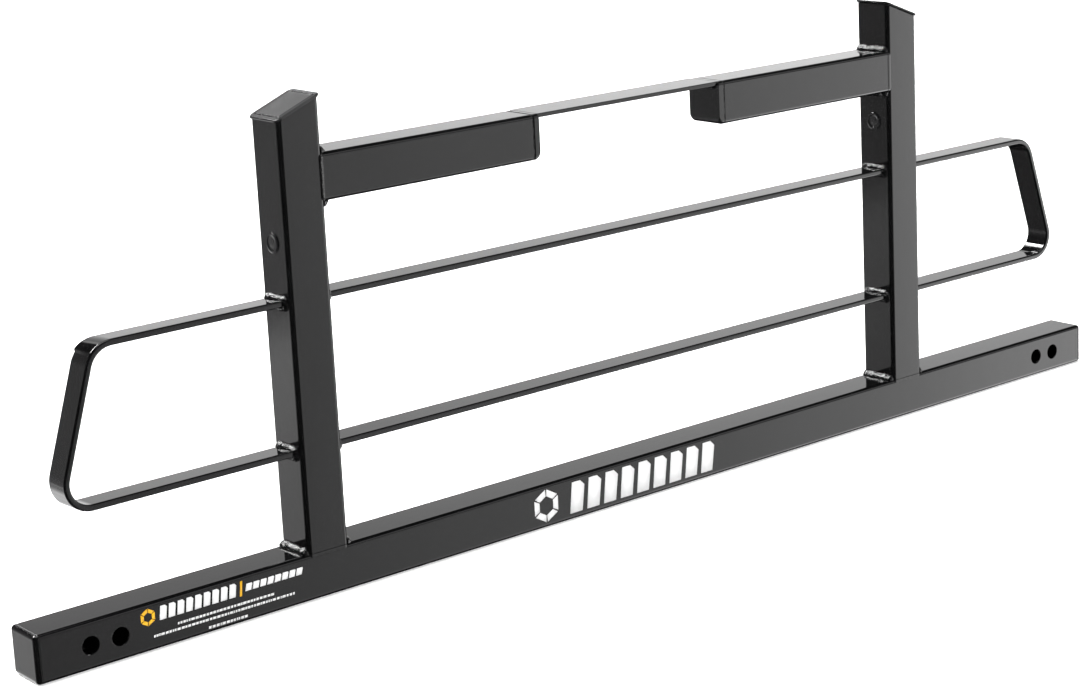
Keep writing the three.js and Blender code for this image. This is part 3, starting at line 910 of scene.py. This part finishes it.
def make_prints():
    """The mark is a ring and a row of blocks. The label has a ring, a divider, two rows and three lines."""
    low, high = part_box("rail_mark")
    mark = hexagon_bars(centre_x=low.x + 22 * MM, centre_z=26 * MM, radius=19 * MM, width=8 * MM)
    mark += row_of_blocks(left=low.x + 56 * MM, right=high.x - 4 * MM, bottom=8 * MM, top=44 * MM,
                          count=9, gap=7 * MM, slant=0.12, notch=6 * MM)
    print_object("mark_print", mark, WHITE, "rail_mark")
    low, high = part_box("rail_label")
    label = row_of_blocks(left=low.x + 23 * MM, right=low.x + 112 * MM, bottom=30 * MM, top=44.5 * MM,
                          count=9, gap=2.6 * MM, slant=0.12, notch=2.2 * MM)
    label += row_of_blocks(left=low.x + 124 * MM, right=high.x - 3 * MM, bottom=33 * MM, top=40.5 * MM,
                           count=8, gap=1.8 * MM, slant=0.25, notch=0.8 * MM)
    lines = ((43, 158, 21, 2.4, 3), (15, 184, 15, 2.4, 4), (78, 125, 6.4, 2.6, 5))
    for start, end, height, size, seed in lines:
        label += dashes(low.x + start * MM, low.x + end * MM, height * MM, size * MM, seed)
    print_object("label_print", label, WHITE, "rail_label")
    accent = hexagon_bars(centre_x=low.x + 10 * MM, centre_z=36.5 * MM, radius=9 * MM, width=4 * MM)
    accent.append(slanted_block(left=low.x + 117 * MM, right=low.x + 119.6 * MM, bottom=29 * MM, top=45 * MM,
                                slant=0.1))
    print_object("label_accent", accent, YELLOW)


# ---------------------------------------------------------------- studio

def make_camera():
    data = bpy.data.cameras.new("camera")
    data.sensor_fit = "HORIZONTAL"
    data.sensor_width = 36
    data.lens = LENS
    data.shift_x, data.shift_y = LENS_SHIFT
    camera = bpy.data.objects.new("camera", data)
    SCENE.collection.objects.link(camera)
    # rolled about its own axis, pitched down from the horizon, and turned to the right of +Y
    heading = Matrix.Rotation(-CAMERA_HEADING, 4, "Z")
    pitch = Matrix.Rotation(math.pi / 2 - CAMERA_PITCH, 4, "X")
    roll = Matrix.Rotation(CAMERA_ROLL, 4, "Z")
    camera.matrix_world = Matrix.Translation(CAMERA_PLACE) @ heading @ pitch @ roll
    SCENE.camera = camera


def make_floor():
    size = FLOOR_HALF_SIZE
    corners = [(-size, -size, 0), (size, -size, 0), (size, size, 0), (-size, size, 0)]
    floor = mesh_object("floor", corners, [(0, 1, 2, 3)])
    material = bpy.data.materials.new("pale_floor")
    material.use_nodes = True
    nodes = Nodes(material.node_tree)
    place = nodes.add("ShaderNodeTexCoord").outputs["Object"]
    tone = nodes.ramp(nodes.noise(3.0, 3.0, 0.5, place), 0.3, 0.7, out_low=0.80, out_high=0.83)
    colour = nodes.add("ShaderNodeCombineColor", Red=tone, Green=tone, Blue=tone)
    shader = nodes.add("ShaderNodeBsdfPrincipled", Base_Color=colour.outputs[0], Roughness=0.9,
                       Emission_Color=(1, 1, 1, 1), Emission_Strength=0.35)
    output = nodes.add("ShaderNodeOutputMaterial")
    nodes.tree.links.new(shader.outputs[0], output.inputs[0])
    floor.data.materials.append(material)
    floor.visible_glossy = False
    floor.location.z = -FLOOR_GAP


def make_lights():
    """Soft lights for the floor and the print; the gloss comes from the world's panels."""
    for name, kind, strength, size, place, target in (
            ("overhead", "AREA", 150, 3.2, (0.5, 0.6, 3.2), (0, 0, 0)),
            ("front_fill", "SUN", 2.1, math.radians(40), (-0.6, -2.6, 1.5), (0, 0, 0))):
        data = bpy.data.lights.new(name, kind)
        data.energy = strength
        if kind == "AREA":
            data.shape = "DISK"
            data.size = size
        else:
            data.angle = size
        light = bpy.data.objects.new(name, data)
        SCENE.collection.objects.link(light)
        light.location = place
        light.rotation_euler = (Vector(target) - Vector(place)).to_track_quat("-Z", "Y").to_euler()
        light.visible_glossy = False
        light.visible_camera = False


def make_world():
    """A dark studio with soft panels, placed by azimuth (0 behind the rack, 90 at its right) and height."""
    world = bpy.data.worlds.new("studio")
    SCENE.world = world
    world.use_nodes = True
    nodes = Nodes(world.node_tree)
    ray = nodes.add("ShaderNodeTexCoord").outputs["Generated"]
    split = nodes.add("ShaderNodeSeparateXYZ", Vector=ray)
    x, y, z = split.outputs
    degree = 180 / math.pi
    azimuth = nodes.math("MULTIPLY", nodes.math("ARCTAN2", x, y), degree)
    height = nodes.math("MULTIPLY", nodes.math("ARCSINE", z), degree)

    # the edge of the back left band climbs towards the left
    tilted = nodes.math("ADD", height, nodes.math("MULTIPLY", nodes.math("ADD", azimuth, 32.0), 0.17))

    def panel(azimuths, heights, climb=height):
        """A brightness along the azimuth times a share along the height, both as stops in degrees."""
        return nodes.math("MULTIPLY", nodes.curve(azimuth, azimuths), nodes.curve(climb, heights))

    panels = [
        # front right, brighter towards the right
        panel([(100, 0), (112, 3.8), (128, 4.4), (131, 3.6), (133, 2.9), (139, 1.85), (144, 1.6), (147, 1.35),
               (152, 0.95), (158, 0.7), (166, 0)],
              [(-40, 0), (-36, 1.6), (-28, 2.0), (-24.5, 0.82), (-20, 0.84), (-15, 0.9), (-9, 1), (0, 1),
               (6, 0)]),
        # softbox above it
        panel([(118, 0), (126, 1.2), (152, 1.2), (160, 0)], [(11, 0), (15, 1), (34, 1), (40, 0)]),
        # back right, seen in the tops
        panel([(8, 0), (11, 1), (33, 1.03), (40, 1.2), (50, 1.25), (70, 1.25), (84, 0)],
              [(-9, 0), (-6, 1.4), (6, 1.5), (9, 1.38), (12, 1.16), (15, 1.03), (17, 0.88), (20, 0.76),
               (22.5, 0.72), (24.5, 1.5), (29, 1.5), (33, 0)]),
        # right, a narrow upright panel
        panel([(88, 0), (94, 1), (104, 1), (108, 0)], [(-20, 0), (-12, 1), (24, 1), (34, 0)]),
        # back left, a band below eye height with a dimmer one over it
        panel([(-66, 0), (-56, 0.5), (-47, 0.7), (-33, 1), (-20, 1), (-12, 0)],
              [(-60, 0), (-50, 0.26), (-36, 0.3), (-30, 0.6), (-22, 1.2), (-18, 1.2), (-15, 1.55),
               (-14.2, 1.55), (-13.4, 0.6), (-9.5, 0.6), (0, 0.45), (6, 0.3), (12, 0.2), (30, 0.2), (36, 0)],
              climb=tilted),
        # back left, high: the light that glints in the welds
        panel([(-52, 0), (-46, 62), (-26, 62), (-20, 14), (-10, 12), (-5, 0)],
              [(43, 0), (45, 1), (50.5, 1), (53, 0)]),
        # behind, over the tops' own panel: more glints in the welds
        panel([(-30, 0), (-28, 70), (-23, 70), (-21, 0), (-16, 0), (-14, 60), (-10, 60), (-8, 0), (-3, 0),
               (-1, 60), (3, 60), (5, 0)],
              [(33, 0), (35, 1), (39, 1), (40, 0), (43, 0), (45, 1), (49, 1), (51, 0)]),
        # floor behind, low
        panel([(-24, 0), (-17, 3.0), (-6, 2.6), (6, 1.6), (34, 1.2), (44, 0)],
              [(-38, 0), (-33, 1), (-20, 1), (-14, 0)]),
        # behind at the right, under the horizon: seen from the back alone
        panel([(14, 0), (22, 1.3), (72, 1.3), (84, 0)], [(-34, 0), (-26, 1), (-14, 1), (-9, 0)]),
        # straight above
        panel([(-181, 3.5), (180, 3.5)], [(64, 0), (68, 1), (90, 1)]),
    ]
    total = panels[0]
    for more in panels[1:]:
        total = nodes.math("ADD", total, more)
    studio = nodes.add("ShaderNodeBackground", Strength=nodes.math("ADD", total, STUDIO_DARK))
    seen = nodes.add("ShaderNodeBackground", Color=(1, 1, 1, 1), Strength=1.0)
    mix = nodes.add("ShaderNodeMixShader", _0=nodes.add("ShaderNodeLightPath").outputs["Is Camera Ray"],
                    _1=studio.outputs[0], _2=seen.outputs[0])
    output = nodes.add("ShaderNodeOutputWorld")
    nodes.tree.links.new(mix.outputs[0], output.inputs[0])


make_camera()
make_rail()
make_rail_end_plates()
make_uprights()
make_brackets()
make_bracket_plates()
make_bridge()
make_crossbars()
make_loops()
make_bar_welds()
make_tip_welds()
make_tube_welds()
make_seam_fills()
make_caps()
make_plugs()
make_prints()
make_floor()
make_lights()
make_world()
SCENE.view_settings.view_transform = "Standard"
